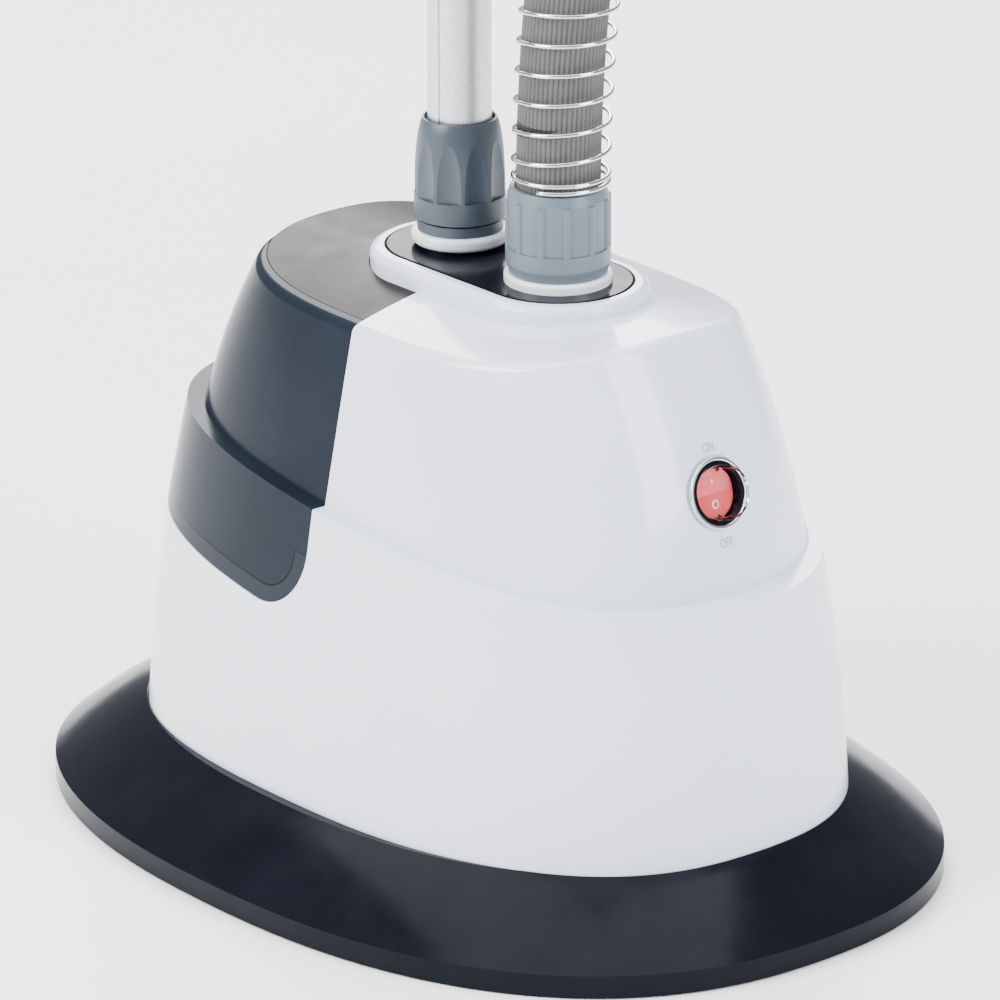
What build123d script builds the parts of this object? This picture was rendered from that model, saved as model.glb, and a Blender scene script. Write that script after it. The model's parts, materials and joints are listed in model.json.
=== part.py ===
from build123d import *
import math
import os

# A standing garment steamer: a footed base, a white housing with a lift-off water tank at the back,
# a telescopic pole with a folding hanger, and a steam hose that ends in a hand-held steam head.
# Millimetres, +Z up, front along -Y. The origin is on the floor under the middle of the base.

# Base
BASE_LENGTH = 360.0
BASE_WIDTH = 268.0
BASE_POWER = (2.35, 2.35)
RIM_HEIGHT = 8.8
FLOOR_GAP = 0.6
SKIRT_TOP = 31.9
SKIRT_WALL = 3.5
SHELF_Z = 26.0
FOOT_PLACES = (80.0, 110.0)
FOOT_RADIUS = 14.0

# Housing and tank
WALL = 3.0
GAP = 0.4
BODY_CENTRE = -4.5
LOWER_POWER = (2.4, 2.8)
UPPER_POWER = (2.75, 3.1)
SPLIT_Y = 2.2
STEP_Z = 136.5
STEP_SLOPE = 0.1
TANK_FLOOR_Z = 95.0
TANK_CORNER = 23.0
CROWN_Z = 209.5
CROWN_RADIUS = 227.0
TOP_ROUND = 4.0
LID_SIZE = (94.0, 57.0)
LID_THICK = 3.0
VALVE = (42.0, 70.0)

# Top plate, pole and hose outlets
PLATE_TOP = 215.0
PLATE_RADIUS = 27.2
PLATE_THICK = 4.0
BOSS_RIM = 5.3
POLE_Y = 17.1
HOSE_Y = -36.9
POLE_RADIUS = 11.5
POLE_BORE = 10.3
POLE_BOTTOM = 165.0
POLE_TOP = 1275.0
UPPER_RADIUS = 9.5
UPPER_BORE = 8.3
UPPER_BOTTOM = 700.0
HANGER_Z = 1415.0
LEVER_Y = POLE_Y + 20.0
LEVER_Z = POLE_TOP - 10.0
ARM_X = 30.0
ARM_TIP = 190.0
CLIP_X = 112.0
CLIP_Z = HANGER_Z - 16.0
CLIP_JAW_Z = CLIP_Z - 38.0

# Steam works
BOILER_Y = -48.0
BOILER_Z = 34.0

# Hose and its spring guard
HOSE_RADIUS = 15.0
HOSE_START = 240.0
SPRING_RADIUS = 17.75
SPRING_WIRE = 0.8
SPRING_PITCH = 10.5
SPRING_TURNS = 7
NUT_TOP = 250.2

# Steam head, held in front of the pole
HEAD_Y = -85.0
HANDLE_BOTTOM = 1120.0
HEAD_MIDDLE = 1285.0
HEAD_BOTTOM = HEAD_MIDDLE - 43.4
HOLDER_DROP = 62.0
HOLDER_THICK = 11.0

# Switch on the front
SWITCH_Z = 158.0
SWITCH_Y = -121.6
SWITCH_TILT = 18.0

# Body sections: height, half length and half width
LOWER = (
    (SHELF_Z, 141.0, 99.5),
    (60, 142.0, 94.0),
    (100, 139.5, 87.5),
    (140, 132.5, 80.8),
    (170, 126.0, 75.6),
)
UPPER = (
    (100, 131.0, 83.2),
    (140, 122.0, 75.0),
    (165, 115.0, 69.8),
    (190, 104.3, 64.5),
    (216, 88.5, 58.6),
)

# The hose's route from its outlet to the steam head, bowing out to the side
HOSE_ROUTE = (
    (0, HOSE_Y, HOSE_START),
    (0, HOSE_Y, 402),
    (116, -44, 502),
    (228, -56, 606),
    (236, -68, 764),
    (122, -78, 866),
    (0, HEAD_Y, 968),
    (0, HEAD_Y, HANDLE_BOTTOM),
)

SWITCH_FACE = Plane(
    origin=(0, SWITCH_Y, SWITCH_Z),
    x_dir=(1, 0, 0),
    z_dir=(0, -math.cos(math.radians(SWITCH_TILT)), math.sin(math.radians(SWITCH_TILT))),
)

ROCKER_PIVOT = SWITCH_FACE.from_local_coords((0, 0, -3.5))


def save(part, label):
    """Name a finished piece and write it."""
    part.label = label
    export_step(part, f"parts/{label}.step")


def superellipse(half_width, half_length, powers, centre=0.0, count=28):
    """Points round a superellipse in the XY plane, with a power for its front and one for its rear."""
    points = []
    for step in range(count):
        angle = 2 * math.pi * step / count
        c, s = math.cos(angle), math.sin(angle)
        power = powers[0] if s < 0 else powers[1]
        x = half_width * math.copysign(abs(c) ** (2 / power), c)
        y = half_length * math.copysign(abs(s) ** (2 / power), s)
        points.append((x, y + centre))
    return points


def lofted(sections, power, inset=0.0, centre=0.0):
    """A solid through superellipse sections, each shrunk by inset."""
    with BuildPart() as stack:
        for z, half_length, half_width in sections:
            with BuildSketch(Plane.XY.offset(z)):
                with BuildLine():
                    Spline(
                        *superellipse(half_width - inset, half_length - inset, power, centre),
                        periodic=True,
                    )
                make_face()
        loft()
    return stack.part


def below_slope(z, reach=250.0):
    """Everything under the sloping plane that passes through z at Y = 0."""
    with BuildPart() as block:
        with BuildSketch(Plane.YZ):
            with BuildLine():
                Polyline(
                    (-reach, 0),
                    (-reach, z - STEP_SLOPE * reach),
                    (reach, z + STEP_SLOPE * reach),
                    (reach, 0),
                    close=True,
                )
            make_face()
        extrude(amount=reach, both=True)
    return block.part


def below_crown(drop=0.0, reach=250.0):
    """Everything under the arched top, lowered by drop."""
    with BuildPart() as block:
        with BuildSketch(Plane.XZ):
            with Locations((0, CROWN_Z - CROWN_RADIUS - drop)):
                Circle(CROWN_RADIUS)
        extrude(amount=reach, both=True)
    return block.part


def body_form(inset=0.0, rounded=False):
    """The outer form of housing and tank together: a wide lower body, a step and a narrower upper body."""
    with BuildPart() as lower:
        add(lofted(LOWER, LOWER_POWER, inset, BODY_CENTRE))
        add(below_slope(STEP_Z - inset), mode=Mode.INTERSECT)
    with BuildPart() as form:
        add(lofted(UPPER, UPPER_POWER, inset, BODY_CENTRE))
        add(below_crown(inset), mode=Mode.INTERSECT)
        if rounded:
            fillet(form.edges().sort_by(Axis.Z)[-1], TOP_ROUND)
        add(lower.part)
    return form.part


def tank_space(grow=0.0):
    """The side profile of the tank, drawn across the whole width and grown on all sides."""
    front = SPLIT_Y - grow
    floor = TANK_FLOOR_Z - grow
    with BuildPart() as space:
        with BuildSketch(Plane.YZ):
            with BuildLine():
                FilletPolyline(
                    (front, 300),
                    (front, floor + STEP_SLOPE * front),
                    (250, floor + STEP_SLOPE * 250),
                    radius=TANK_CORNER + grow,
                )
                Polyline((250, floor + STEP_SLOPE * 250), (250, 300), (front, 300))
            make_face()
        extrude(amount=200, both=True)
    return space.part


def stadium(radius, bottom, top):
    """A solid as long as the two outlets, with round ends."""
    with BuildPart() as block:
        with BuildSketch(Plane.XY.offset(bottom)):
            with Locations((0, (POLE_Y + HOSE_Y) / 2)):
                SlotCenterToCenter(POLE_Y - HOSE_Y, 2 * radius, rotation=90)
        extrude(amount=top - bottom)
    return block.part


def ring(outer, inner, bottom, top, y=0.0):
    """A plain ring on a vertical axis at Y."""
    with BuildPart() as hoop:
        with BuildSketch(Plane.XY.offset(bottom)):
            with Locations((0, y)):
                Circle(outer)
                Circle(inner, mode=Mode.SUBTRACT)
        extrude(amount=top - bottom)
    return hoop.part


# Base

def base_pieces():
    half_length = BASE_LENGTH / 2
    half_width = BASE_WIDTH / 2
    slope = ((RIM_HEIGHT, half_length, half_width), (20, 165.5, 120.5), (SKIRT_TOP, 144.5, 102.5))
    inside = (half_length - SKIRT_WALL, half_width - SKIRT_WALL)
    hollow = ((RIM_HEIGHT - 2, *inside), (14, 169, 123.5), (22.5, 153, 109.5))
    with BuildPart() as base_skirt:
        with BuildSketch(Plane.XY.offset(FLOOR_GAP)):
            with BuildLine():
                Spline(*superellipse(half_width, half_length, BASE_POWER), periodic=True)
            make_face()
        extrude(amount=RIM_HEIGHT - FLOOR_GAP)
        add(lofted(slope, BASE_POWER))
        add(lofted(hollow, BASE_POWER), mode=Mode.SUBTRACT)
        with BuildSketch(Plane.XY):
            with BuildLine():
                Spline(*superellipse(inside[1], inside[0], BASE_POWER), periodic=True)
            make_face()
        extrude(amount=RIM_HEIGHT - 2, mode=Mode.SUBTRACT)
        with BuildSketch(Plane.XY):
            with BuildLine():
                Spline(*superellipse(91, 132, LOWER_POWER, BODY_CENTRE), periodic=True)
            make_face()
        extrude(amount=SKIRT_TOP + 5, mode=Mode.SUBTRACT)
        add(lofted(LOWER, LOWER_POWER, -0.4, BODY_CENTRE), mode=Mode.SUBTRACT)
    save(base_skirt.part, "base_skirt")

    with BuildPart() as base_plate:
        with BuildSketch(Plane.XY.offset(2.6)):
            with BuildLine():
                Spline(*superellipse(half_width - 4.3, half_length - 4.3, BASE_POWER), periodic=True)
            make_face()
        extrude(amount=2.4)
        with BuildSketch(Plane.XY.offset(2.6)):
            with GridLocations(60, 14, 1, 7):
                SlotOverall(70, 4)
        extrude(amount=2.4, mode=Mode.SUBTRACT)
    save(base_plate.part, "base_plate")

    corners = [(x, y) for x in (-1, 1) for y in (-1, 1)]
    for number, (side, end) in enumerate(corners, 1):
        with BuildPart() as foot:
            with Locations((side * FOOT_PLACES[0], end * FOOT_PLACES[1], 0)):
                Cylinder(FOOT_RADIUS, 2.6, align=(Align.CENTER, Align.CENTER, Align.MIN))
            chamfer(foot.edges().sort_by(Axis.Z)[0], 0.8)
        save(foot.part, f"foot_{number}")


# Housing

def switch_hole(radius, depth, start=-30.0):
    with BuildPart() as hole:
        with BuildSketch(SWITCH_FACE.offset(start)):
            Circle(radius)
        extrude(amount=depth)
    return hole.part


def housing_piece(outer_form, inner_form):
    column_top = PLATE_TOP - 0.2
    with BuildPart() as boss:
        add(stadium(PLATE_RADIUS + BOSS_RIM, 90, column_top))
        fillet(boss.edges().group_by(Axis.Z)[-1], 3.2)
    with BuildPart() as bay:
        add(tank_space(GAP))
        add(stadium(PLATE_RADIUS + BOSS_RIM, 0, 320), mode=Mode.SUBTRACT)
    with BuildPart() as solid_part:
        add(tank_space(GAP + WALL))
        add(stadium(PLATE_RADIUS + BOSS_RIM - WALL, 0, 320), mode=Mode.SUBTRACT)
    with BuildPart() as cavity:
        add(inner_form)
        add(solid_part.part, mode=Mode.SUBTRACT)
    with BuildPart() as housing:
        add(outer_form)
        add(bay.part, mode=Mode.SUBTRACT)
        add(boss.part)
        add(cavity.part, mode=Mode.SUBTRACT)
        add(stadium(PLATE_RADIUS + 0.2, PLATE_TOP - PLATE_THICK - 0.2, 230), mode=Mode.SUBTRACT)
        with Locations((0, POLE_Y), (0, HOSE_Y)):
            Cylinder(16.5, 600, mode=Mode.SUBTRACT)
        add(switch_hole(11.6, 60), mode=Mode.SUBTRACT)
        add(switch_hole(13.4, 20, -0.8), mode=Mode.SUBTRACT)
        with Locations((VALVE[0], VALVE[1], 95)):
            Cylinder(9.2, 60, mode=Mode.SUBTRACT)
        with Locations(Plane(origin=(50, 125, 48), z_dir=(0, 1, 0))):
            Cylinder(8.2, 60, mode=Mode.SUBTRACT)
    save(housing.part, "housing")


def top_plate_piece():
    with BuildPart() as top_plate:
        add(stadium(PLATE_RADIUS, PLATE_TOP - PLATE_THICK, PLATE_TOP))
        chamfer(top_plate.edges().group_by(Axis.Z)[-1], 0.9)
        with Locations((0, POLE_Y), (0, HOSE_Y)):
            Cylinder(16.2, 600, mode=Mode.SUBTRACT)
    save(top_plate.part, "top_plate")


# Tank

def lid_outline(inset):
    """An upright solid with the outline of the lid, shrunk by inset."""
    sections = ((150, *LID_SIZE), (230, *LID_SIZE))
    return lofted(sections, UPPER_POWER, inset, BODY_CENTRE)


def tank_pieces(outer_form, inner_form):
    column = PLATE_RADIUS + BOSS_RIM
    with BuildPart() as lid_space:
        add(lid_outline(-0.3))
        add(below_crown(LID_THICK + 0.3), mode=Mode.SUBTRACT)
    with BuildPart() as cavity:
        add(inner_form)
        add(tank_space(-WALL), mode=Mode.INTERSECT)
        add(stadium(column + GAP + WALL, 0, 320), mode=Mode.SUBTRACT)
    with BuildPart() as mouth:
        add(lid_outline(3.5))
        add(below_crown(LID_THICK + 8), mode=Mode.SUBTRACT)
        add(tank_space(-WALL), mode=Mode.INTERSECT)
        add(stadium(column + GAP + WALL, 0, 320), mode=Mode.SUBTRACT)
    with BuildPart() as tank:
        add(outer_form)
        add(tank_space(), mode=Mode.INTERSECT)
        add(stadium(column + GAP, 0, 320), mode=Mode.SUBTRACT)
        add(cavity.part, mode=Mode.SUBTRACT)
        add(lid_space.part, mode=Mode.SUBTRACT)
        add(mouth.part, mode=Mode.SUBTRACT)
        with Locations((VALVE[0], VALVE[1], 95)):
            Cylinder(5.2, 60, mode=Mode.SUBTRACT)
    save(tank.part, "tank")

    with BuildPart() as tank_lid:
        add(lid_outline(0))
        add(below_crown(), mode=Mode.INTERSECT)
        add(below_crown(LID_THICK), mode=Mode.SUBTRACT)
        add(tank_space(), mode=Mode.INTERSECT)
        add(stadium(column + GAP, 0, 320), mode=Mode.SUBTRACT)
    save(tank_lid.part, "tank_lid")


# Pole and hose outlets

def outlet_pieces():
    save(ring(16.0, POLE_RADIUS + 0.1, POLE_BOTTOM - 5, PLATE_TOP + 1.2, POLE_Y), "pole_socket")

    with BuildPart() as pole_flange:
        add(ring(17.6, POLE_RADIUS + 0.1, PLATE_TOP + 1.2, PLATE_TOP + 6.2, POLE_Y))
        fillet(pole_flange.edges().filter_by(GeomType.CIRCLE).sort_by(SortBy.LENGTH)[-2:], 1.8)
    save(pole_flange.part, "pole_flange")
    save(ring(15.5, POLE_RADIUS + 0.1, PLATE_TOP + 6.2, PLATE_TOP + 10.0, POLE_Y), "pole_seat_ring")

    with BuildPart() as hose_ring:
        add(ring(19.3, 16.1, PLATE_TOP, PLATE_TOP + 3.6, HOSE_Y))
        fillet(hose_ring.edges().group_by(Axis.Z)[-1].sort_by(SortBy.LENGTH)[-1], 1.3)
    save(hose_ring.part, "hose_ring")

    with BuildPart() as hose_outlet:
        add(ring(15.9, 11.0, PLATE_TOP - 14, HOSE_START, HOSE_Y))
    save(hose_outlet.part, "hose_outlet")


def pole_nut_piece():
    """A twist nut that grips the pole, scalloped above a plain band and drawn in at the top."""
    bottom = PLATE_TOP + 11.0
    top = 262.5
    with BuildPart() as pole_nut:
        with BuildSketch(Plane.XZ):
            with BuildLine():
                Polyline((0, bottom), (16.6, bottom), (16.6, bottom + 7.8))
                Spline(
                    (16.6, bottom + 7.8),
                    (16.4, bottom + 18),
                    (15.2, top - 7),
                    (13.4, top),
                    tangents=((0, 1), (-0.5, 1)),
                )
                Polyline((13.4, top), (0, top), (0, bottom))
            make_face()
        revolve(axis=Axis.Z)
        with BuildSketch(Plane.XY.offset(bottom + 8)):
            with PolarLocations(29.0, 10):
                Circle(13.8)
        extrude(amount=40, mode=Mode.SUBTRACT)
        Hole(POLE_RADIUS + 0.35, depth=600)
        with BuildSketch(Plane.XY.offset(top - 2)):
            Circle(12.8)
        extrude(amount=3, mode=Mode.SUBTRACT)
    save(pole_nut.part.moved(Location((0, POLE_Y, 0))), "pole_nut")


def hose_nut_piece():
    """A bayonet nut with twelve rounded ribs above a plain band."""
    bottom = PLATE_TOP + 3.9
    with BuildPart() as hose_nut:
        with BuildSketch(Plane.XZ):
            with BuildLine():
                Polyline(
                    (0, bottom),
                    (17.6, bottom),
                    (18.7, bottom + 3.6),
                    (18.7, bottom + 9.4),
                    (18.0, bottom + 9.4),
                    (18.0, NUT_TOP - 3.6),
                    (17.0, NUT_TOP),
                    (0, NUT_TOP),
                    close=True,
                )
            make_face()
        revolve(axis=Axis.Z)
        with BuildSketch(Plane.XY.offset(bottom + 9.4)):
            with PolarLocations(17.5, 12):
                Circle(1.5)
        extrude(amount=NUT_TOP - bottom - 13.4)
        fillet(hose_nut.faces().group_by(Axis.Z)[-2].edges(), 0.6)
        with BuildSketch(Plane.XY.offset(bottom)):
            Circle(16.15)
        extrude(amount=HOSE_START - bottom + 0.3, mode=Mode.SUBTRACT)
        with BuildSketch(Plane.XY.offset(HOSE_START - 1)):
            Circle(HOSE_RADIUS + 0.4)
        extrude(amount=30, mode=Mode.SUBTRACT)
    save(hose_nut.part.moved(Location((0, HOSE_Y, 0))), "hose_nut")


# Pole

def pole_pieces():
    groove_angle = 195.0
    with BuildPart() as lower_pole:
        add(ring(POLE_RADIUS, POLE_BORE, POLE_BOTTOM, POLE_TOP))
        with BuildSketch(Plane.XY.offset(POLE_BOTTOM)):
            with PolarLocations(POLE_RADIUS, 1, start_angle=groove_angle):
                Rectangle(1.2, 2.4)
        extrude(amount=POLE_TOP - POLE_BOTTOM, mode=Mode.SUBTRACT)
    save(lower_pole.part.moved(Location((0, POLE_Y, 0))), "lower_pole")

    with BuildPart() as upper_pole:
        add(ring(UPPER_RADIUS, UPPER_BORE, UPPER_BOTTOM, HANGER_Z, POLE_Y))
    save(upper_pole.part, "upper_pole")

    with BuildPart() as upper_foot:
        add(ring(POLE_BORE - 0.06, 4.0, UPPER_BOTTOM - 14, UPPER_BOTTOM, POLE_Y))
    save(upper_foot.part, "upper_pole_foot")

    with BuildPart() as pole_bushing:
        add(ring(POLE_BORE, UPPER_RADIUS + 0.05, POLE_TOP - 22, POLE_TOP, POLE_Y))
    save(pole_bushing.part, "pole_bushing")


def lock_pieces():
    """The collar at the top of the lower pole, its cam lever and the holder for the steam head."""
    bottom = POLE_TOP - 34
    top = POLE_TOP + 8
    with BuildPart() as lock_collar:
        with BuildSketch(Plane.XY.offset(bottom)):
            with Locations((0, POLE_Y)):
                Circle(17.0)
        extrude(amount=top - bottom)
        fillet(lock_collar.edges().group_by(Axis.Z)[-1], 1.2)
        with BuildSketch(Plane.YZ):
            with Locations((LEVER_Y, LEVER_Z)):
                Circle(4.6)
            with Locations((LEVER_Y - 5, LEVER_Z)):
                Rectangle(10, 9.2)
        extrude(amount=6.5, both=True)
        with Locations((0, POLE_Y, bottom)):
            Cylinder(POLE_RADIUS + 0.05, 2 * (POLE_TOP - bottom), mode=Mode.SUBTRACT)
        with Locations((0, POLE_Y, top)):
            Cylinder(UPPER_RADIUS + 0.3, 60, mode=Mode.SUBTRACT)
        with Locations((0, POLE_Y + 19, POLE_TOP - 6)):
            Box(3.0, 24, 60, mode=Mode.SUBTRACT)
        with Locations(Plane(origin=(0, LEVER_Y, LEVER_Z), z_dir=(1, 0, 0))):
            Cylinder(2.1, 40, mode=Mode.SUBTRACT)
    save(lock_collar.part, "lock_collar")

    with BuildPart() as lever_pin:
        with Locations(Plane(origin=(0, LEVER_Y, LEVER_Z), z_dir=(1, 0, 0))):
            Cylinder(2.05, 21.4)
    save(lever_pin.part, "lever_pin")

    with BuildPart() as lock_lever:
        with BuildSketch(Plane.YZ):
            with BuildLine():
                FilletPolyline(
                    (LEVER_Y, LEVER_Z),
                    (LEVER_Y + 4.2, LEVER_Z),
                    (LEVER_Y + 11.0, LEVER_Z - 34),
                    (LEVER_Y + 6.0, LEVER_Z - 37),
                    (LEVER_Y - 2.5, LEVER_Z - 3.2),
                    radius=1.5,
                    close=True,
                )
            make_face()
            with Locations((LEVER_Y, LEVER_Z)):
                Circle(4.2)
        extrude(amount=10.6, both=True)
        with Locations((0, LEVER_Y - 8, LEVER_Z - 14)):
            Box(13.8, 26, 70, mode=Mode.SUBTRACT)
        with Locations(Plane(origin=(0, LEVER_Y, LEVER_Z), z_dir=(1, 0, 0))):
            Cylinder(2.1, 40, mode=Mode.SUBTRACT)
    save(lock_lever.part, "lock_lever")

    holder_z = HEAD_MIDDLE - HOLDER_DROP
    with BuildPart() as head_holder:
        with BuildSketch(Plane.XY.offset(holder_z)):
            with Locations((0, POLE_Y)):
                Circle(16.0)
            with Locations((0, (POLE_Y + HEAD_Y) / 2)):
                Rectangle(16, POLE_Y - HEAD_Y - 20)
            with Locations((0, HEAD_Y)):
                Circle(27.0)
                Circle(21.0, mode=Mode.SUBTRACT)
            with Locations((0, HEAD_Y - 25)):
                Rectangle(30, 30, mode=Mode.SUBTRACT)
            with Locations((0, POLE_Y)):
                Circle(POLE_RADIUS + 0.05, mode=Mode.SUBTRACT)
        extrude(amount=HOLDER_THICK)
        fillet(head_holder.edges().filter_by(Axis.Z).sort_by(Axis.Y)[:4], 2.0)
    save(head_holder.part, "head_holder")


# Hose

def hose_pieces():
    points = [Vector(*point) for point in HOSE_ROUTE]
    runs = [(b - a).length for a, b in zip(points, points[1:])]
    turns = [(b - a).get_angle(c - b) for a, b, c in zip(points, points[1:], points[2:])]
    radii = [
        0.45 * min(first, second) / math.tan(math.radians(turn) / 2)
        for first, second, turn in zip(runs, runs[1:], turns)
    ]
    with BuildPart() as hose:
        with BuildLine():
            path = FilletPolyline(*points, radius=radii)
        with BuildSketch(Plane(origin=points[0], z_dir=points[1] - points[0])):
            Circle(HOSE_RADIUS)
        sweep()
    length = path.length
    print("hose length", round(length), "runs", [round(run) for run in runs])
    print("hose turns", [round(turn) for turn in turns], "radii", [round(radius) for radius in radii])
    section = math.pi * HOSE_RADIUS**2
    print("hose volume", round(hose.part.volume), "section by length", round(section * length))
    save(hose.part, "hose")

    with BuildPart() as hose_spring:
        with BuildLine():
            Helix(SPRING_PITCH, SPRING_PITCH * SPRING_TURNS, SPRING_RADIUS - SPRING_WIRE)
        with BuildSketch(Plane(origin=(SPRING_RADIUS - SPRING_WIRE, 0, 0), z_dir=(0, 1, 0))):
            Circle(SPRING_WIRE)
        sweep()
    save(hose_spring.part.moved(Location((0, HOSE_Y, NUT_TOP + 1))), "hose_spring")


# Switch

def switch_pieces():
    with BuildPart() as switch_ring:
        with BuildSketch(SWITCH_FACE.offset(-0.8)):
            Circle(12.7)
            Circle(11.4, mode=Mode.SUBTRACT)
        extrude(amount=2.6)
        fillet(switch_ring.edges().filter_by(GeomType.CIRCLE).sort_by(Axis.Y)[:2], 0.4)
    save(switch_ring.part, "switch_ring")

    with BuildPart() as switch_body:
        with BuildSketch(SWITCH_FACE.offset(-24)):
            Circle(11.3)
        extrude(amount=25.2)
        with BuildSketch(SWITCH_FACE.offset(-10)):
            Circle(9.7)
        extrude(amount=16, mode=Mode.SUBTRACT)
    save(switch_body.part, "switch_body")

    with BuildPart() as rocker:
        with BuildSketch(Plane(origin=ROCKER_PIVOT, x_dir=SWITCH_FACE.z_dir, z_dir=(1, 0, 0))):
            with BuildLine():
                Polyline((-3.5, -7.6), (3.4, -8.9), (1.6, 0), (2.0, 8.9), (-3.5, 7.6), close=True)
            make_face()
        extrude(amount=9.0, both=True)
        with BuildSketch(SWITCH_FACE.offset(-12)):
            Circle(8.8)
        extrude(amount=16, mode=Mode.INTERSECT)
    save(rocker.part, "rocker")

    with BuildPart() as switch_cap:
        with BuildSketch(SWITCH_FACE.offset(1.3)):
            Circle(10.1)
        extrude(amount=0.7)
        with BuildSketch(SWITCH_FACE.offset(1.3)):
            Circle(9.6)
        extrude(amount=6.2)
        fillet(switch_cap.edges().filter_by(GeomType.CIRCLE).sort_by(Axis.Y)[0], 1.5)
        with BuildSketch(SWITCH_FACE.offset(1.2)):
            Circle(8.7)
        extrude(amount=5.3, mode=Mode.SUBTRACT)
    save(switch_cap.part, "switch_cap")


# Steam works inside the housing

def boiler_pieces():
    with BuildPart() as boiler:
        with Locations((0, BOILER_Y, BOILER_Z)):
            Cylinder(42, 34, align=(Align.CENTER, Align.CENTER, Align.MIN))
        fillet(boiler.edges().group_by(Axis.Z)[-1], 4.0)
        fillet(boiler.edges().group_by(Axis.Z)[0], 2.0)
        with Locations((0, BOILER_Y, BOILER_Z + 4)):
            Cylinder(37, 25, align=(Align.CENTER, Align.CENTER, Align.MIN), mode=Mode.SUBTRACT)
        with Locations((0, HOSE_Y, BOILER_Z + 20)):
            Cylinder(7.0, 30, align=(Align.CENTER, Align.CENTER, Align.MIN), mode=Mode.SUBTRACT)
    save(boiler.part, "boiler")

    with BuildPart() as heating_tube:
        with BuildLine() as loop:
            CenterArc((0, BOILER_Y, BOILER_Z + 9), 29, 0, 320)
        with BuildSketch(Plane(origin=loop.line @ 0, z_dir=loop.line % 0)):
            Circle(4.0)
        sweep()
    save(heating_tube.part, "heating_tube")

    with BuildPart() as boiler_stand:
        add(ring(35.0, 26.0, 5.0, 7.5).moved(Location((0, BOILER_Y, 0))))
        with Locations((0, BOILER_Y, 5.0)):
            with PolarLocations(30.5, 3, start_angle=90):
                Cylinder(4.0, BOILER_Z - 5.0, align=(Align.CENTER, Align.CENTER, Align.MIN))
    save(boiler_stand.part, "boiler_stand")

    with BuildPart() as thermostat:
        with Locations((20, BOILER_Y - 14, BOILER_Z + 34)):
            Cylinder(8.0, 7, align=(Align.CENTER, Align.CENTER, Align.MIN))
        with Locations((20, BOILER_Y - 14, BOILER_Z + 41)):
            Box(4, 12, 3, align=(Align.CENTER, Align.CENTER, Align.MIN))
    save(thermostat.part, "thermostat")

    with BuildPart() as thermal_fuse:
        with Locations((-20, BOILER_Y - 14, BOILER_Z + 34)):
            Box(22, 7, 6, align=(Align.CENTER, Align.CENTER, Align.MIN))
        fillet(thermal_fuse.edges().filter_by(Axis.X), 1.5)
    save(thermal_fuse.part, "thermal_fuse")

    save(ring(6.9, 5.0, BOILER_Z + 29.5, PLATE_TOP - 14, HOSE_Y), "steam_pipe")

    with BuildPart() as terminal_block:
        with Locations((-44, 84, 5)):
            Box(20, 12, 12, align=(Align.CENTER, Align.CENTER, Align.MIN))
        with Locations((-44, 84, 15)):
            Box(34, 18, 14, align=(Align.CENTER, Align.CENTER, Align.MIN))
        with Locations((-44, 84, 29)):
            with GridLocations(10, 1, 3, 1):
                Cylinder(3.0, 8, mode=Mode.SUBTRACT)
    save(terminal_block.part, "terminal_block")

    with BuildPart() as cord_gland:
        with BuildSketch(Plane(origin=(50, 120, 48), z_dir=(0, 1, 0))):
            Circle(8.0)
            Circle(3.6, mode=Mode.SUBTRACT)
        extrude(amount=17)
        with BuildSketch(Plane(origin=(50, 137, 48), z_dir=(0, 1, 0))):
            Circle(8.0)
            Circle(3.6, mode=Mode.SUBTRACT)
        extrude(amount=9, taper=14)
    save(cord_gland.part, "cord_gland")


def valve_pieces():
    """The spring valve at the bottom of the tank and the seat that it drops into."""
    x, y = VALVE
    floor = TANK_FLOOR_Z + STEP_SLOPE * y
    with BuildPart() as valve_seat:
        with Locations((x, y, floor - 26)):
            Cylinder(9.0, 24.4, align=(Align.CENTER, Align.CENTER, Align.MIN))
        with Locations((x, y, floor - 22)):
            Cylinder(6.6, 40, align=(Align.CENTER, Align.CENTER, Align.MIN), mode=Mode.SUBTRACT)
        with Locations((x, y, floor - 30)):
            Cylinder(2.6, 20, align=(Align.CENTER, Align.CENTER, Align.MIN), mode=Mode.SUBTRACT)
    save(valve_seat.part, "valve_seat")

    with BuildPart() as water_pipe:
        with BuildLine() as route:
            FilletPolyline(
                (x, y, floor - 26),
                (x, y, BOILER_Z + 16),
                (35, BOILER_Y + 70 * math.sin(math.pi / 3), BOILER_Z + 16),
                (21.03, BOILER_Y + 42.06 * math.sin(math.pi / 3), BOILER_Z + 16),
                radius=12,
            )
        with BuildSketch(Plane(origin=route.line @ 0, z_dir=route.line % 0)):
            Circle(4.0)
        sweep()
    save(water_pipe.part, "water_pipe")

    with BuildPart() as valve_plunger:
        with BuildSketch(Plane.XY.offset(floor - 12)):
            with Locations((x, y)):
                Circle(3.2)
        extrude(amount=26)
        with BuildSketch(Plane.XY.offset(floor + 4.4)):
            with Locations((x, y)):
                Circle(8.0)
        extrude(amount=2.6)
    save(valve_plunger.part, "valve_plunger")

    with BuildPart() as valve_cage:
        with Locations((x, y, floor + 4.2)):
            Cylinder(11.0, 25, align=(Align.CENTER, Align.CENTER, Align.MIN))
            Cylinder(9.4, 23.4, align=(Align.CENTER, Align.CENTER, Align.MIN), mode=Mode.SUBTRACT)
        with BuildSketch(Plane.XY.offset(floor + 8)):
            with Locations((x, y)):
                with PolarLocations(10, 4):
                    Rectangle(8, 6)
        extrude(amount=14, mode=Mode.SUBTRACT)
    save(valve_cage.part, "valve_cage")

    with BuildPart() as valve_spring:
        with BuildLine():
            Helix(3.2, 19.2, 5.6)
        with BuildSketch(Plane(origin=(5.6, 0, 0), z_dir=(0, 1, 0))):
            Circle(0.5)
        sweep()
    save(valve_spring.part.moved(Location((x, y, floor + 7.9))), "valve_spring")


# Hanger

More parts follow.
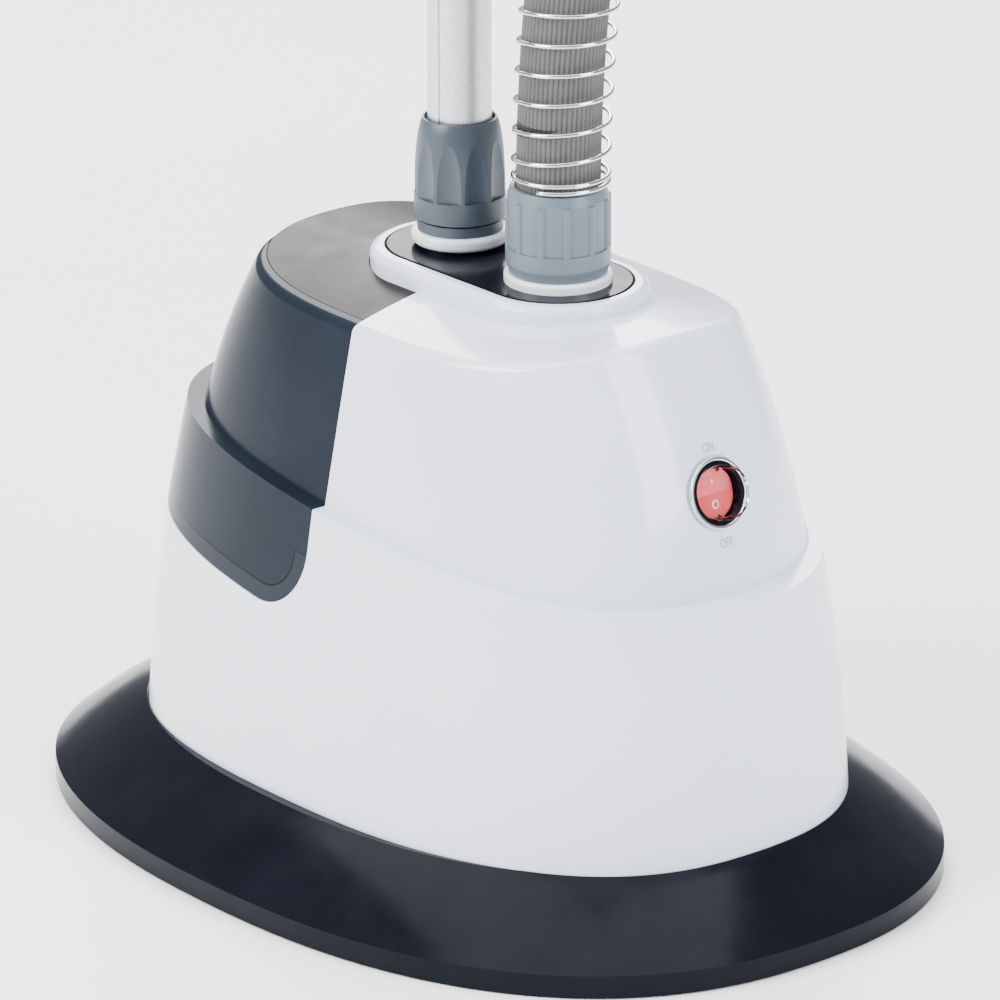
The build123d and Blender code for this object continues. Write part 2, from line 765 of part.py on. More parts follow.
def hanger_pieces():
    with BuildPart() as hanger_hub:
        with BuildSketch(Plane.XZ.offset(-POLE_Y)):
            with BuildLine():
                FilletPolyline(
                    (-24, HANGER_Z - 34),
                    (24, HANGER_Z - 34),
                    (30, HANGER_Z + 4),
                    (16, HANGER_Z + 18),
                    (-16, HANGER_Z + 18),
                    (-30, HANGER_Z + 4),
                    radius=6,
                    close=True,
                )
            make_face()
        extrude(amount=12.5, both=True)
        fillet(hanger_hub.faces().filter_by(Axis.Y).edges(), 2.0)
        with Locations((0, POLE_Y, HANGER_Z)):
            Cylinder(
                UPPER_RADIUS + 0.05,
                80,
                align=(Align.CENTER, Align.CENTER, Align.MAX),
                mode=Mode.SUBTRACT,
            )
        for side in (-1, 1):
            with Locations((side * 26, POLE_Y, HANGER_Z - 20)):
                Box(29, 11.2, 62, mode=Mode.SUBTRACT)
            with Locations(Plane(origin=(side * ARM_X, POLE_Y, HANGER_Z - 6), z_dir=(0, 1, 0))):
                Cylinder(2.6, 60, mode=Mode.SUBTRACT)
    save(hanger_hub.part, "hanger_hub")

    for side, name in ((-1, "left"), (1, "right")):
        with BuildPart() as arm_pin:
            with Locations(Plane(origin=(side * ARM_X, POLE_Y, HANGER_Z - 6), z_dir=(0, 1, 0))):
                Cylinder(2.55, 24.6)
        save(arm_pin.part, f"arm_pin_{name}")
        hanger_arm(side, name)
        clip(side, name)


def hanger_arm(side, name):
    """A shoulder-shaped arm with a rounded eye for its pin."""
    eye = (ARM_X, HANGER_Z - 6)
    with BuildPart() as arm:
        with BuildSketch(Plane.XZ.offset(-POLE_Y)):
            with BuildLine():
                Polyline((eye[0], eye[1] + 6), (eye[0] + 14, eye[1] + 6))
                Spline(
                    (eye[0] + 14, eye[1] + 6),
                    (ARM_TIP - 60, HANGER_Z - 14),
                    (ARM_TIP, HANGER_Z - 52),
                    tangents=((1, 0), (0.3, -1)),
                )
                Polyline((ARM_TIP, HANGER_Z - 52), (ARM_TIP - 8, HANGER_Z - 56))
                Spline(
                    (ARM_TIP - 8, HANGER_Z - 56),
                    (ARM_TIP - 66, HANGER_Z - 25),
                    (eye[0] + 14, eye[1] - 6),
                    tangents=((-0.3, 1), (-1, 0)),
                )
                Polyline((eye[0] + 14, eye[1] - 6), (eye[0], eye[1] - 6))
                ThreePointArc((eye[0], eye[1] - 6), (eye[0] - 6, eye[1]), (eye[0], eye[1] + 6))
            make_face()
        extrude(amount=5.0, both=True)
        with Locations(Plane(origin=(eye[0], POLE_Y, eye[1]), z_dir=(0, 1, 0))):
            Cylinder(2.6, 30, mode=Mode.SUBTRACT)
    part = arm.part if side > 0 else arm.part.mirror(Plane.YZ)
    save(part, f"arm_{name}")


def clip(side, name):
    """A garment clip: a loop round the arm with a fixed jaw below it, and a sprung jaw on a pin."""
    x = side * CLIP_X
    with BuildPart() as clip_body:
        with Locations((x, POLE_Y, CLIP_Z - 21)):
            Box(10, 17, 33.5, align=(Align.CENTER, Align.CENTER, Align.MIN))
        fillet(clip_body.edges().filter_by(Axis.X).group_by(Axis.Z)[-1], 3.0)
        with Locations((x, POLE_Y, CLIP_Z - 8.6)):
            Box(20, 10.6, 17.6, align=(Align.CENTER, Align.CENTER, Align.MIN), mode=Mode.SUBTRACT)
        with Locations((x, POLE_Y + 6.5, CLIP_Z - 18)):
            Box(36, 4, 48, align=(Align.CENTER, Align.CENTER, Align.MAX))
        fillet(clip_body.edges().filter_by(Axis.Y).group_by(Axis.Z)[0], 4.0)
        for end in (-1, 1):
            with Locations((x + end * 10, POLE_Y + 3.5, CLIP_JAW_Z)):
                Box(3, 9, 8)
        with Locations(Plane(origin=(x, POLE_Y, CLIP_JAW_Z), z_dir=(1, 0, 0))):
            Cylinder(1.6, 60, mode=Mode.SUBTRACT)
    save(clip_body.part, f"clip_body_{name}")

    with BuildPart() as clip_jaw:
        with BuildSketch(Plane.YZ.offset(x)):
            with BuildLine():
                Polyline(
                    (POLE_Y - 10, CLIP_JAW_Z + 12),
                    (POLE_Y - 7, CLIP_JAW_Z + 12),
                    (POLE_Y - 1, CLIP_JAW_Z + 2.5),
                    (POLE_Y + 2, CLIP_JAW_Z + 2.5),
                    (POLE_Y + 2, CLIP_JAW_Z - 3),
                    (POLE_Y - 1, CLIP_JAW_Z - 8),
                    (POLE_Y + 4.1, CLIP_JAW_Z - 25),
                    (POLE_Y + 1, CLIP_JAW_Z - 25),
                    (POLE_Y - 5, CLIP_JAW_Z - 8),
                    close=True,
                )
            make_face()
        extrude(amount=8.2, both=True)
        with Locations(Plane(origin=(x, POLE_Y, CLIP_JAW_Z), z_dir=(1, 0, 0))):
            Cylinder(1.6, 60, mode=Mode.SUBTRACT)
    save(clip_jaw.part, f"clip_jaw_{name}")

    with BuildPart() as clip_pins:
        with Locations(Plane(origin=(x, POLE_Y, CLIP_JAW_Z), z_dir=(1, 0, 0))):
            Cylinder(1.55, 23)
    save(clip_pins.part, f"clip_pin_{name}")


# Steam head

def head_pieces():
    seat = HEAD_MIDDLE - HOLDER_DROP + HOLDER_THICK
    sections = ((HANDLE_BOTTOM + 30, 16.0), (HANDLE_BOTTOM + 70, 16.4), (seat - 12, 18.5))
    with BuildPart() as handle:
        for z, radius in sections:
            with BuildSketch(Plane.XY.offset(z)):
                with Locations((0, HEAD_Y)):
                    Circle(radius)
        loft()
        with BuildSketch(Plane.XY.offset(seat - 12)):
            with Locations((0, HEAD_Y)):
                Circle(18.5)
        extrude(amount=12.5)
        with BuildSketch(Plane.XY.offset(seat + 0.5)):
            with Locations((0, HEAD_Y)):
                Circle(25.0)
        extrude(amount=HEAD_BOTTOM - seat - 0.5)
        fillet(handle.edges().filter_by(GeomType.CIRCLE).group_by(Axis.Z)[-2], 1.5)
        with Locations((0, HEAD_Y, HANDLE_BOTTOM)):
            Cylinder(8.0, 200, align=(Align.CENTER, Align.CENTER, Align.MIN), mode=Mode.SUBTRACT)
    save(handle.part, "head_handle")

    sections = (
        (HEAD_Y + 26, 40, 44, 16),
        (HEAD_Y, 66, 54, 20),
        (HEAD_Y - 34, 108, 62, 20),
        (HEAD_Y - 50, 116, 62, 16),
    )
    with BuildPart() as shell:
        for y, width, height, corner in sections:
            with BuildSketch(Plane.XZ.offset(-y)):
                with Locations((0, HEAD_MIDDLE - 12)):
                    RectangleRounded(width, height, corner)
        loft()
        with BuildSketch(Plane.XZ.offset(50 - HEAD_Y)):
            with Locations((0, HEAD_MIDDLE - 12)):
                RectangleRounded(106, 52, 12)
        extrude(amount=-24, mode=Mode.SUBTRACT)
        with Locations((0, HEAD_Y, HEAD_BOTTOM)):
            Cylinder(30, 40, align=(Align.CENTER, Align.CENTER, Align.MAX), mode=Mode.SUBTRACT)
        with Locations((0, HEAD_Y, HEAD_MIDDLE - 60)):
            Cylinder(8.0, 40, align=(Align.CENTER, Align.CENTER, Align.MIN), mode=Mode.SUBTRACT)
    save(shell.part, "head_shell")

    with BuildPart() as steam_plate:
        with BuildSketch(Plane.XZ.offset(44 - HEAD_Y)):
            with Locations((0, HEAD_MIDDLE - 12)):
                RectangleRounded(105.4, 51.4, 11.7)
        extrude(amount=7.5)
        fillet(steam_plate.faces().sort_by(Axis.Y)[0].edges(), 1.2)
        with BuildSketch(Plane.XZ.offset(20 - HEAD_Y)):
            with Locations((0, HEAD_MIDDLE - 12)):
                with GridLocations(17, 17, 6, 2):
                    Circle(2.4)
        extrude(amount=40, mode=Mode.SUBTRACT)
    save(steam_plate.part, "steam_plate")

    with BuildPart() as hose_cuff:
        with BuildSketch(Plane.XZ):
            with BuildLine():
                Polyline(
                    (HOSE_RADIUS + 0.3, HANDLE_BOTTOM - 34),
                    (HOSE_RADIUS + 2.0, HANDLE_BOTTOM - 34),
                    (HOSE_RADIUS + 4.4, HANDLE_BOTTOM + 4),
                    (HOSE_RADIUS + 4.4, HANDLE_BOTTOM + 26),
                    (HOSE_RADIUS + 2.4, HANDLE_BOTTOM + 30),
                    (8, HANDLE_BOTTOM + 30),
                    (8, HANDLE_BOTTOM + 0.3),
                    (HOSE_RADIUS + 0.3, HANDLE_BOTTOM + 0.3),
                    close=True,
                )
            make_face()
        revolve(axis=Axis.Z)
    save(hose_cuff.part.moved(Location((0, HEAD_Y, 0))), "hose_cuff")


os.makedirs("parts", exist_ok=True)
outer_form = body_form(rounded=True)
inner_form = body_form(WALL)
base_pieces()
housing_piece(outer_form, inner_form)
top_plate_piece()
tank_pieces(outer_form, inner_form)
outlet_pieces()
pole_nut_piece()
hose_nut_piece()
pole_pieces()
lock_pieces()
hose_pieces()
switch_pieces()
boiler_pieces()
valve_pieces()
hanger_pieces()
head_pieces()
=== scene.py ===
import json
import math

import bpy
from mathutils import Matrix, Vector
from mathutils.bvhtree import BVHTree


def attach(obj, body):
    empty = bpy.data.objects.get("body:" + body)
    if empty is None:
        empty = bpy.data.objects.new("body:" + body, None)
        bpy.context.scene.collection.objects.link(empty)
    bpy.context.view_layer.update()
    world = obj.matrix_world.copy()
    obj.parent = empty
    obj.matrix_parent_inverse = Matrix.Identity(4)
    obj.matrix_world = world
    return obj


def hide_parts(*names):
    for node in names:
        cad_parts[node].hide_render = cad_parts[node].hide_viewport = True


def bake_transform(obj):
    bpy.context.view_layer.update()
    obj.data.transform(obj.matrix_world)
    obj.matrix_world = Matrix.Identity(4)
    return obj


# A standing garment steamer. Metres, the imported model's own frame.

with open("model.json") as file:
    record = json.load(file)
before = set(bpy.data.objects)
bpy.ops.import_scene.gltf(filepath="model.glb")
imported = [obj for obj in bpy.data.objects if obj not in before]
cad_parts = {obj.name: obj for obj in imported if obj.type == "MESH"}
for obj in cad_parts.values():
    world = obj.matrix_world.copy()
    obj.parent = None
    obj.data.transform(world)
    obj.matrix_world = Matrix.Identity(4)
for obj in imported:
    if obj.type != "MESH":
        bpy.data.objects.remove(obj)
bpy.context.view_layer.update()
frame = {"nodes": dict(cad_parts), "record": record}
nodes = frame["nodes"]
scene = bpy.context.scene


# Camera

CAMERA_AIM = Vector((0, 0, 0.140))
CAMERA_AZIMUTH = math.radians(-40.031)
CAMERA_ELEVATION = math.radians(20.334)
CAMERA_ROLL = math.radians(-0.167)
CAMERA_DISTANCE = 2.61767
CAMERA_RIGHT = 0.00296
CAMERA_DOWN = 0.01762
CAMERA_LENS = 261.4


def make_camera():
    """A long lens, aimed down at the body of the steamer from its left front."""
    azimuth, elevation = CAMERA_AZIMUTH, CAMERA_ELEVATION
    back = Vector((
        math.sin(azimuth) * math.cos(elevation),
        -math.cos(azimuth) * math.cos(elevation),
        math.sin(elevation),
    ))
    right = Vector((math.cos(azimuth), math.sin(azimuth), 0))
    up = back.cross(right)
    camera = bpy.data.objects.new("camera", bpy.data.cameras.new("camera"))
    scene.collection.objects.link(camera)
    axes = Matrix((right, up, back)).transposed().to_4x4()
    turn = axes @ Matrix.Rotation(CAMERA_ROLL, 4, "Z")
    place = CAMERA_AIM + back * CAMERA_DISTANCE + right * CAMERA_RIGHT - up * CAMERA_DOWN
    camera.matrix_world = Matrix.Translation(place) @ turn
    camera.data.lens = CAMERA_LENS
    camera.data.sensor_width = 36
    camera.data.clip_start = 0.1
    camera.data.clip_end = 50
    scene.camera = camera


# The hose and its spring guard

HOSE_Y = -0.0369
HOSE_RADIUS = 0.015
HOSE_RIBS = 52
HOSE_SIDES = 4 * HOSE_RIBS
RIB_DEPTH = 0.0006
RING_STEP = 0.004
FINE_STEP = 0.001

SPRING_FOOT = 0.2513
SPRING_TURNS = 8.6
SPRING_CLOSE_TURNS = 1.4
SPRING_CLOSE_PITCH = 0.0026
SPRING_OPEN_PITCH = 0.0105
SPRING_RADIUS = 0.01695
SPRING_WIRE = 0.00085
SPRING_START = math.radians(200)
SPRING_SHIFT = Vector((0.0007, -0.0006, 0))
STEPS_PER_TURN = 60

HOSE_ROUTE = (
    (0, HOSE_Y, 0.240),
    (0, HOSE_Y, 0.402),
    (0.116, -0.044, 0.502),
    (0.228, -0.056, 0.606),
    (0.236, -0.068, 0.764),
    (0.122, -0.078, 0.866),
    (0, -0.085, 0.968),
    (0, -0.085, 1.120),
)


def meshed(holder):
    """The mesh that a curve or text object makes."""
    shown = holder.evaluated_get(bpy.context.evaluated_depsgraph_get())
    return bpy.data.meshes.new_from_object(shown)


def route_line(route, step):
    """Points a step apart along the NURBS spline that has the route as its control points."""
    data = bpy.data.curves.new("route", "CURVE")
    data.dimensions = "3D"
    spline = data.splines.new("NURBS")
    spline.points.add(len(route) - 1)
    for point, place in zip(spline.points, route):
        point.co = (*place, 1)
    spline.order_u = 3
    spline.use_endpoint_u = True
    spline.resolution_u = 40
    holder = bpy.data.objects.new("route", data)
    scene.collection.objects.link(holder)
    bpy.context.view_layer.update()
    mesh = meshed(holder)
    fine = [v.co.copy() for v in mesh.vertices]
    bpy.data.objects.remove(holder)
    bpy.data.curves.remove(data)
    bpy.data.meshes.remove(mesh)
    line = [fine[0]]
    left = step
    for a, b in zip(fine, fine[1:]):
        gap = (b - a).length
        while gap and left <= gap:
            line.append(a.lerp(b, left / gap))
            left += step
        left -= gap
    line.append(fine[-1])
    return line


def carried_frames(line, first):
    """A side and an up direction at each point of a line, carried along it without twist."""
    frames = []
    side = Vector(first)
    for index, point in enumerate(line):
        ahead = line[min(index + 1, len(line) - 1)] - line[max(index - 1, 0)]
        ahead.normalize()
        side = (side - ahead * side.dot(ahead)).normalized()
        frames.append((point, side, ahead.cross(side)))
    return frames


def tube(name, line, radius, sides, first=(1, 0, 0), ribs=0, depth=0.0):
    """A closed tube along a line. Ribs run along it where ribs isn't 0."""
    verts, faces, grooves = [], [], []
    for point, side, up in carried_frames(line, first):
        for k in range(sides):
            angle = 2 * math.pi * k / sides
            grooves.append((0.5 - 0.5 * math.cos(angle * ribs)) ** 2)
            r = radius - depth * grooves[-1]
            verts.append(point + side * (r * math.cos(angle)) + up * (r * math.sin(angle)))
    for ring in range(len(line) - 1):
        for k in range(sides):
            a = ring * sides + k
            b = ring * sides + (k + 1) % sides
            faces.append((a, b, b + sides, a + sides))
    last = (len(line) - 1) * sides
    faces.append(tuple(reversed(range(sides))))
    faces.append(tuple(range(last, last + sides)))
    piece = mesh_piece(name, verts, faces)
    piece.data.attributes.new("groove", "FLOAT", "POINT").data.foreach_set("value", grooves)
    return piece


def mesh_piece(name, verts, faces):
    mesh = bpy.data.meshes.new(name)
    mesh.from_pydata([tuple(v) for v in verts], [], faces)
    mesh.validate()
    mesh.polygons.foreach_set("use_smooth", [True] * len(mesh.polygons))
    piece = bpy.data.objects.new(name, mesh)
    scene.collection.objects.link(piece)
    return piece


def spring_line():
    """The guard's wire: a helix round the hose, with its first turns nearly closed."""
    frames = carried_frames(route_line(HOSE_ROUTE, FINE_STEP), (1, 0, 0))
    coil = []
    for step in range(int(SPRING_TURNS * STEPS_PER_TURN) + 1):
        turn = step / STEPS_PER_TURN
        climb = SPRING_CLOSE_PITCH * min(turn, SPRING_CLOSE_TURNS)
        climb += SPRING_OPEN_PITCH * max(turn - SPRING_CLOSE_TURNS, 0)
        place = (SPRING_FOOT + climb - HOSE_ROUTE[0][2]) / FINE_STEP
        index = int(place)
        a, b = frames[index], frames[index + 1]
        centre = a[0].lerp(b[0], place - index) + SPRING_SHIFT
        angle = 2 * math.pi * turn + SPRING_START
        outward = a[1] * math.cos(angle) + a[2] * math.sin(angle)
        coil.append(centre + outward * SPRING_RADIUS)
    return coil


def make_hose():
    """The hose, which bends between the body and the steam head, and its spring guard."""
    line = route_line(HOSE_ROUTE, RING_STEP)
    hose = tube("steam_hose", line, HOSE_RADIUS, HOSE_SIDES, ribs=HOSE_RIBS, depth=RIB_DEPTH)
    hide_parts("hose")

    spring = tube("spring_guard", spring_line(), SPRING_WIRE, 10, first=(0, 0, 1))
    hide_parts("hose_spring")
    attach(spring, "steamer")
    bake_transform(hose)
    return hose, spring


def make_valve_spring():
    """The valve's spring, between the plunger and its cage: a copy of the CAD spring's mesh."""
    source = nodes["valve_spring"]
    coil = bpy.data.objects.new("valve_coil", source.data.copy())
    scene.collection.objects.link(coil)
    coil.matrix_world = source.matrix_world.copy()
    bpy.context.view_layer.update()
    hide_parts("valve_spring")
    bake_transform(coil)
    return coil


make_camera()
hose, spring = make_hose()
valve_coil = make_valve_spring()


# Materials

class Surface:
    """A node material on one principled shader, built up by small steps."""

    def __init__(self, name):
        self.material = bpy.data.materials.new(name)
        self.material.use_nodes = True
        self.tree = self.material.node_tree
        self.shader = next(n for n in self.tree.nodes if n.type == "BSDF_PRINCIPLED")
        self.place = self.tree.nodes.new("ShaderNodeTexCoord").outputs["Object"]

    def fill(self, socket, value):
        """Link a socket to another's output, or set it to a constant."""
        if isinstance(value, bpy.types.NodeSocket):
            self.tree.links.new(value, socket)
        else:
            socket.default_value = value

    def add(self, kind, inputs=None, **settings):
        node = self.tree.nodes.new(kind)
        for key, value in settings.items():
            setattr(node, key, value)
        for key, value in (inputs or {}).items():
            self.fill(node.inputs[key], value)
        return node

    def set(self, **values):
        for key, value in values.items():
            self.shader.inputs[key.replace("_", " ")].default_value = value

    def link(self, output, name):
        self.tree.links.new(output, self.shader.inputs[name])

    def noise(self, scale, detail=3.0, stretch=(1, 1, 1)):
        moved = self.add("ShaderNodeMapping", {"Vector": self.place, "Scale": stretch})
        node = self.add(
            "ShaderNodeTexNoise",
            {
                "Vector": moved.outputs[0],
                "Scale": scale,
                "Detail": detail,
                "Roughness": 0.55,
            },
        )
        return node.outputs["Fac"]

    def spread(self, value, low, high, start=0.3, end=0.7):
        node = self.add(
            "ShaderNodeMapRange",
            {
                "Value": value,
                "From Min": start,
                "From Max": end,
                "To Min": low,
                "To Max": high,
            },
        )
        return node.outputs[0]

    def mix(self, factor, first, second):
        node = self.add("ShaderNodeMix", data_type="RGBA")
        self.fill(node.inputs[0], factor)
        for index, colour in ((6, first), (7, second)):
            self.fill(node.inputs[index], (*colour, 1) if isinstance(colour, tuple) else colour)
        return node.outputs[2]

    def maths(self, operation, first, second=0.0, third=0.0):
        node = self.add("ShaderNodeMath", operation=operation)
        for index, value in enumerate((first, second, third)):
            self.fill(node.inputs[index], value)
        return node.outputs[0]

    def axes(self):
        return self.add("ShaderNodeSeparateXYZ", {"Vector": self.place}).outputs

    def bump(self, height, strength, distance=0.0002):
        node = self.add(
            "ShaderNodeBump",
            {"Height": height, "Strength": strength, "Distance": distance},
        )
        self.link(node.outputs[0], "Normal")


def plastic(name, dark, light, rough, scale=35, grain=900, relief=0.04, coat=0.0, gloss=0.5):
    surface = Surface(name)
    cloud = surface.spread(surface.noise(scale), 0, 1)
    surface.link(surface.mix(cloud, dark, light), "Base Color")
    surface.link(surface.spread(surface.noise(scale * 2.3, 5), *rough), "Roughness")
    surface.bump(surface.noise(grain, 2), relief)
    surface.set(Coat_Weight=coat, Coat_Roughness=0.06, Specular_IOR_Level=gloss)
    return surface


def metal(name, dark, light, rough, stretch=(1, 1, 1), scale=60, relief=0.05):
    surface = Surface(name)
    streaks = surface.noise(scale, 4, stretch)
    surface.link(surface.mix(surface.spread(streaks, 0, 1), dark, light), "Base Color")
    surface.link(surface.spread(surface.noise(scale * 1.7, 3, stretch), *rough), "Roughness")
    surface.bump(streaks, relief, 0.0001)
    surface.set(Metallic=1.0)
    return surface


def tank_surface():
    """Smoked plastic, with a rim band and a fine groove round its lower edge and front corner."""
    surface = Surface("tank_smoke")
    axes = surface.axes()
    corner = 0.023
    width = 0.0063
    groove_half = 0.00028
    top = 0.120
    front = 0.0022
    foot, slope = 0.095, 0.1
    inside = surface.maths("SUBTRACT", axes["Y"], front)
    level = surface.maths("MULTIPLY_ADD", axes["Y"], -slope, axes["Z"])
    above = surface.maths("SUBTRACT", level, foot)
    across = surface.maths("MAXIMUM", surface.maths("SUBTRACT", corner, inside), 0.0)
    down = surface.maths("MAXIMUM", surface.maths("SUBTRACT", corner, above), 0.0)
    squares = surface.maths(
        "MULTIPLY_ADD", across, across, surface.maths("MULTIPLY", down, down)
    )
    depth = surface.maths("SUBTRACT", corner, surface.maths("SQRT", squares))
    low = surface.maths("LESS_THAN", axes["Z"], top)
    band = surface.maths("MULTIPLY", surface.maths("LESS_THAN", depth, width), low)
    groove = surface.maths("MULTIPLY", surface.maths("COMPARE", depth, width, groove_half), low)
    closing = surface.maths("COMPARE", axes["Z"], top, groove_half)
    closing = surface.maths("MULTIPLY", closing, band)
    groove = surface.maths("MAXIMUM", groove, closing)
    cloud = surface.spread(surface.noise(22), 0, 1)
    tint = surface.mix(cloud, (0.009, 0.013, 0.020), (0.012, 0.017, 0.025))
    tint = surface.mix(band, tint, (0.017, 0.022, 0.030))
    tint = surface.mix(groove, tint, (0.001, 0.001, 0.002))
    surface.link(tint, "Base Color")
    surface.link(surface.spread(surface.noise(60, 4), 0.14, 0.22), "Roughness")
    grain = surface.maths("MULTIPLY", surface.noise(700, 2), 0.06)
    rise = surface.maths("MULTIPLY_ADD", groove, -1.0, grain)
    surface.bump(rise, 0.35, 0.0003)
    surface.set(Specular_IOR_Level=0.08)
    return surface


def hose_surface():
    """Grey ribbed hose with a fine weave, painted shade in its rib grooves, and one slanting dark
    band above the nut.
    """
    surface = Surface("hose_grey")
    axes = surface.axes()
    band_turn = math.radians(40)
    band_slant = 0.18
    band_top = 0.2740
    weave_rate = 5200.0
    behind = surface.maths("SUBTRACT", axes["Y"], HOSE_Y)
    sideways = surface.maths("MULTIPLY", behind, math.sin(band_turn))
    sideways = surface.maths("MULTIPLY_ADD", axes["X"], -math.cos(band_turn), sideways)
    thick = surface.maths("MAXIMUM", surface.maths("MULTIPLY", sideways, band_slant), 0.0)
    middle = surface.maths("MULTIPLY_ADD", thick, -1.0, band_top)
    band = surface.maths("COMPARE", axes["Z"], middle, thick)
    weave = surface.maths("SINE", surface.maths("MULTIPLY", axes["Z"], weave_rate))
    cloud = surface.spread(surface.noise(120, 5), 0, 1)
    tint = surface.mix(cloud, (0.088, 0.087, 0.083), (0.120, 0.119, 0.113))
    tint = surface.mix(surface.spread(weave, 0.0, 0.10, -1, 1), tint, (0.03, 0.03, 0.03))
    groove = surface.add("ShaderNodeAttribute", attribute_name="groove").outputs["Fac"]
    # Painted shade: the rib grooves are darkened towards near black, where shade falls between the
    # ribs.
    tint = surface.mix(surface.maths("MULTIPLY", groove, 0.72), tint, (0.030, 0.030, 0.029))
    tint = surface.mix(band, tint, (0.012, 0.012, 0.014))
    surface.link(tint, "Base Color")
    surface.link(surface.spread(surface.noise(300, 4), 0.55, 0.75), "Roughness")
    surface.bump(surface.maths("ADD", weave, surface.noise(900, 3)), 0.15, 0.0001)
    return surface


def clear_surface():
    """The switch cap's clear moulding, which bends light only a little."""
    surface = Surface("clear_cap")
    tint = surface.mix(surface.noise(300), (0.95, 0.96, 0.97), (0.99, 0.99, 1.0))
    surface.link(tint, "Base Color")
    surface.link(surface.spread(surface.noise(400, 3), 0.02, 0.07), "Roughness")
    surface.set(Transmission_Weight=1.0, IOR=1.06)
    surface.bump(surface.noise(500, 2), 0.03)
    return surface


# Name: darker tint, lighter tint, roughness range, then what differs from a usual plastic.
PLASTICS = {
    "white_shell": ((0.70, 0.75, 0.84), (0.73, 0.78, 0.87), (0.16, 0.22), {"coat": 0.3}),
    "black_base": ((0.003, 0.004, 0.007), (0.005, 0.006, 0.010), (0.12, 0.20), {"gloss": 0.08}),
    "lid_black": (
        (0.007, 0.006, 0.007), (0.010, 0.009, 0.010), (0.26, 0.36), {"relief": 0.08, "gloss": 0.08}
    ),
    "slate": ((0.042, 0.058, 0.076), (0.052, 0.071, 0.091), (0.33, 0.43), {"relief": 0.12}),
    "light_slate": ((0.100, 0.131, 0.158), (0.114, 0.148, 0.177), (0.33, 0.43), {"relief": 0.12}),
    "white_trim": ((0.76, 0.79, 0.84), (0.81, 0.83, 0.88), (0.18, 0.26), {"coat": 0.3}),
    "foot_rubber": ((0.012, 0.012, 0.012), (0.025, 0.025, 0.025), (0.7, 0.85), {"relief": 0.3}),
    "inner_plastic": ((0.42, 0.42, 0.40), (0.50, 0.50, 0.48), (0.4, 0.5), {"relief": 0.15}),
    "red_rocker": ((0.62, 0.05, 0.055), (0.70, 0.07, 0.075), (0.2, 0.3), {"coat": 0.3}),
    "silicone": ((0.62, 0.61, 0.58), (0.72, 0.71, 0.68), (0.45, 0.6), {"relief": 0.15}),
    "print_grey": ((0.24, 0.27, 0.31), (0.28, 0.31, 0.35), (0.3, 0.4), {}),
    "print_white": ((0.72, 0.70, 0.70), (0.82, 0.80, 0.80), (0.3, 0.4), {}),
}
METALS = {
    "silver_tube": (
        (0.66, 0.66, 0.68),
        (0.80, 0.80, 0.82),
        (0.38, 0.50),
        {"stretch": (1, 1, 0.5), "scale": 900, "relief": 0.25},
    ),
    "spring_steel": ((0.66, 0.65, 0.64), (0.80, 0.79, 0.78), (0.05, 0.12), {}),
    "chrome_trim": ((0.70, 0.71, 0.73), (0.80, 0.81, 0.83), (0.07, 0.16), {}),
    "cast_alloy": ((0.38, 0.38, 0.39), (0.50, 0.50, 0.51), (0.4, 0.6), {"relief": 0.3}),
    "steel": ((0.45, 0.45, 0.45), (0.58, 0.58, 0.58), (0.25, 0.4), {}),
}

MADE = {
    "tank_smoke": tank_surface(),
    "hose_grey": hose_surface(),
    "clear_cap": clear_surface(),
}
for make, rows in ((plastic, PLASTICS), (metal, METALS)):
    for name, (dark, light, rough, rest) in rows.items():
        MADE[name] = make(name, dark, light, rough, **rest)


def paint(piece, slot):
    piece.data.materials.clear()
    piece.data.materials.append(MADE[slot].material)


for row in frame["record"]["subparts"]:
    paint(nodes[row["node"]], row["material_slot"])
paint(hose, "hose_grey")
paint(spring, "spring_steel")
paint(valve_coil, "steel")


# Printed marks round the switch

SWITCH_TILT = math.radians(18)
SWITCH_CENTRE = Vector((0, -0.1216, 0.158))
SWITCH_OUT = Vector((0, -math.cos(SWITCH_TILT), math.sin(SWITCH_TILT)))
SWITCH_RIGHT = Vector((1, 0, 0))
SWITCH_UP = SWITCH_OUT.cross(SWITCH_RIGHT)
LETTER_WIDTH = 0.72
ROCKER_LIFT = 0.0003
RAY_START = 0.05


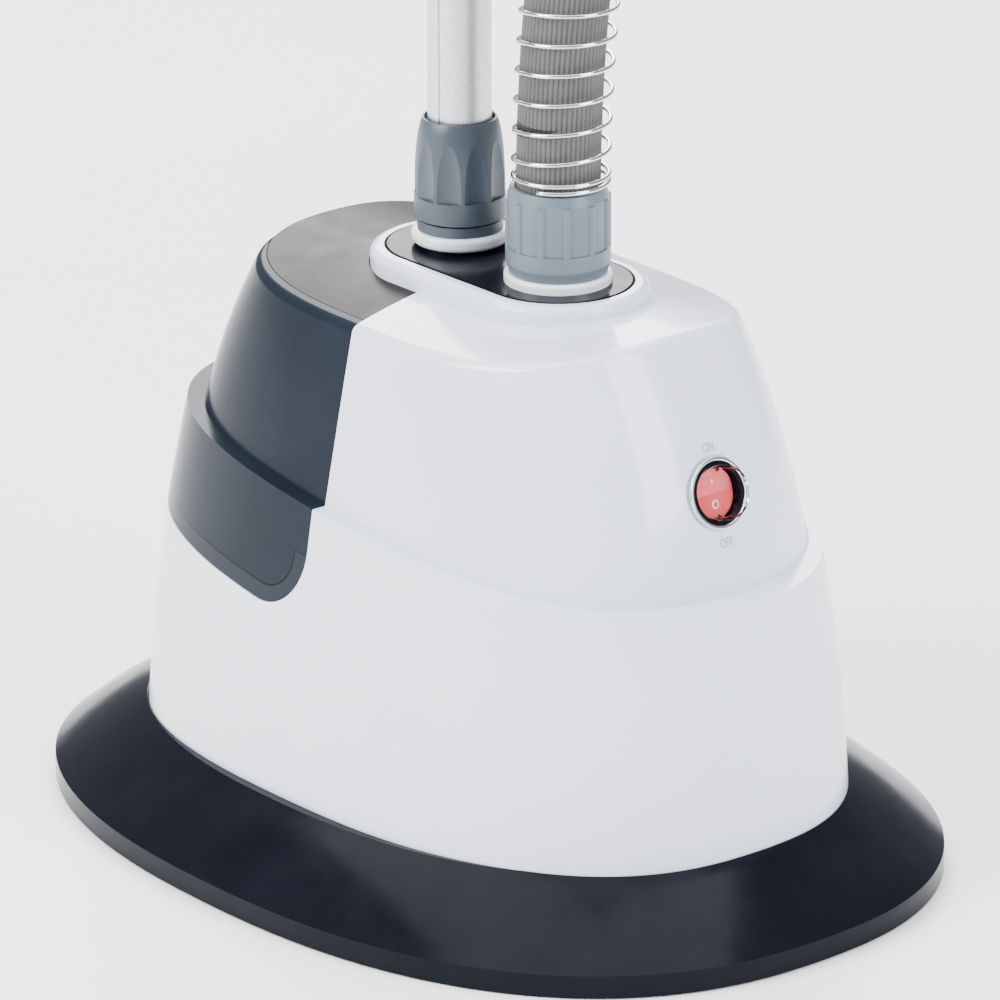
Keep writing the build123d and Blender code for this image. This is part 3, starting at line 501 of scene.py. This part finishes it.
def printed(name, words, size, right, up, target, slot, body, lift=0.00008):
    """Letters laid onto the surface of a CAD node, seen square to the switch."""
    data = bpy.data.curves.new(name, "FONT")
    data.body = words
    data.size = size
    data.align_x = "CENTER"
    data.align_y = "CENTER"
    holder = bpy.data.objects.new(name, data)
    scene.collection.objects.link(holder)
    bpy.context.view_layer.update()
    mesh = meshed(holder)
    bpy.data.objects.remove(holder)
    source = nodes[target].data
    surface = BVHTree.FromPolygons(
        [v.co for v in source.vertices],
        [tuple(p.vertices) for p in source.polygons],
    )
    for vertex in mesh.vertices:
        start = (
            SWITCH_CENTRE
            + SWITCH_RIGHT * (right + vertex.co.x * LETTER_WIDTH)
            + SWITCH_UP * (up + vertex.co.y)
            + SWITCH_OUT * RAY_START
        )
        vertex.co = surface.ray_cast(start, -SWITCH_OUT)[0] + SWITCH_OUT * lift
    piece = bpy.data.objects.new(name, mesh)
    scene.collection.objects.link(piece)
    paint(piece, slot)
    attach(piece, body)


printed("mark_on", "ON", 0.0047, 0.0006, 0.0162, "housing", "print_grey", "steamer")
printed("mark_off", "OFF", 0.0047, 0.0006, -0.0180, "housing", "print_grey", "steamer")
printed("mark_o", "O", 0.0042, 0, -0.0040, "rocker", "print_white", "rocker_body", ROCKER_LIFT)
printed("mark_i", "I", 0.0042, 0, 0.0048, "rocker", "print_white", "rocker_body", ROCKER_LIFT)


# Floor and light

def area_light(name, place, target, size, power, tint=(1, 1, 1)):
    data = bpy.data.lights.new(name, "AREA")
    data.shape = "RECTANGLE"
    data.size, data.size_y = size
    data.energy = power
    data.color = tint
    lamp = bpy.data.objects.new(name, data)
    lamp.location = place
    aim = Vector(target) - Vector(place)
    lamp.rotation_mode = "QUATERNION"
    lamp.rotation_quaternion = aim.to_track_quat("-Z", "Y")
    lamp.visible_camera = False
    scene.collection.objects.link(lamp)


FLOOR_HALF = 6

floor = mesh_piece(
    "floor",
    [(x * FLOOR_HALF, y * FLOOR_HALF, 0) for x, y in ((-1, -1), (1, -1), (1, 1), (-1, 1))],
    [(0, 1, 2, 3)],
)
floor_surface = plastic(
    "floor",
    (0.93, 0.93, 0.94),
    (0.96, 0.96, 0.96),
    (0.6, 0.7),
    scale=3,
    grain=200,
    relief=0.01,
)
floor.data.materials.append(floor_surface.material)

world = bpy.data.worlds.new("studio")
world.use_nodes = True
backdrop = world.node_tree.nodes["Background"]
backdrop.inputs["Color"].default_value = (0.93, 0.95, 1.0, 1)
backdrop.inputs["Strength"].default_value = 0.5
scene.world = world

area_light("key", (-2.3, 0.6, 1.7), (0, 0, 0.12), (1.6, 1.6), 150)
area_light("side", (0.5, -2.3, 1.2), (0, 0, 0.12), (1.2, 1.6), 80, (0.93, 0.96, 1.0))
area_light("top", (0.2, 0.4, 2.8), (0.1, 0.2, 0), (3.2, 3.2), 150)
area_light("behind", (1.6, 2.2, 1.9), (0.2, 0.4, 0), (1.8, 1.8), 120)
